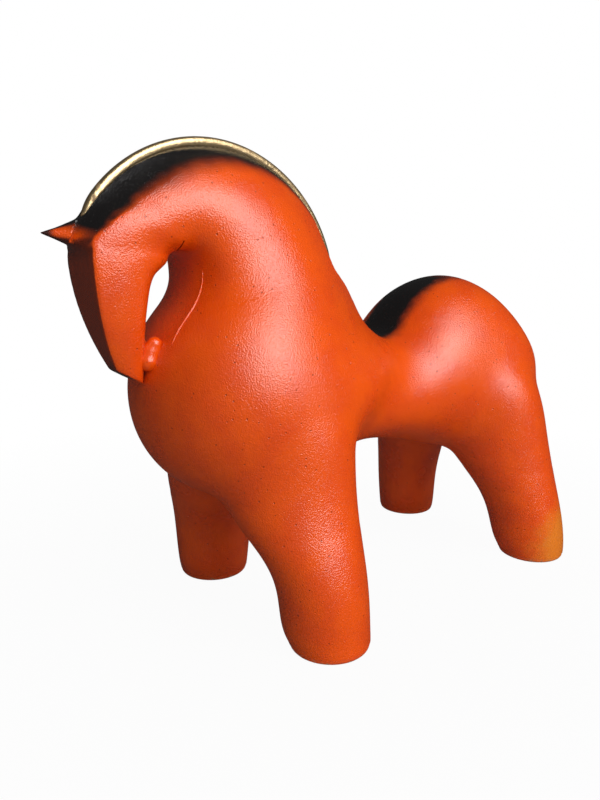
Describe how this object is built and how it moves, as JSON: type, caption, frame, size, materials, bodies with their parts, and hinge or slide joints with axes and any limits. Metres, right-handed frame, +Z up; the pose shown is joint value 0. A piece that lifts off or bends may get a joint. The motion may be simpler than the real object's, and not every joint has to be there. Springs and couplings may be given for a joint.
{
  "type": "standing horse ornament",
  "caption": "Stylised standing clay horse with arched neck, tucked chin, thick tapering legs and a gilded crest; built from hollow luted sections as a table ornament.",
  "frame": {"origin": "on the ground under the middle of the length, on the mirror plane", "axes": "+Z up; the horse faces -X, so its left side is -Y; +X runs from head to rump"},
  "size_m": [0.316, 0.155, 0.25],
  "materials": {
    "painted_clay": "satin orange paint with a fine orange-peel grain",
    "sole_clay": "painted, worn at the edge",
    "dark_clay": "satin black over orange",
    "gilt_crest": "gold leaf on black",
    "chin_filler": "glossy painted filler"
  },
  "bodies": {
    "root": {"head": "painted_clay", "neck_upper": "painted_clay", "neck_lower": "painted_clay", "chest_barrel": "painted_clay", "rump_barrel": "painted_clay", "fore_left_leg": "painted_clay", "fore_right_leg": "painted_clay", "hind_left_leg": "painted_clay", "hind_right_leg": "painted_clay", "fore_left_sole": "sole_clay", "fore_right_sole": "sole_clay", "hind_left_sole": "sole_clay", "hind_right_sole": "sole_clay", "forelock": "dark_clay", "crest": "gilt_crest", "chin_pad": "chin_filler"}
  },
  "joints": []
}
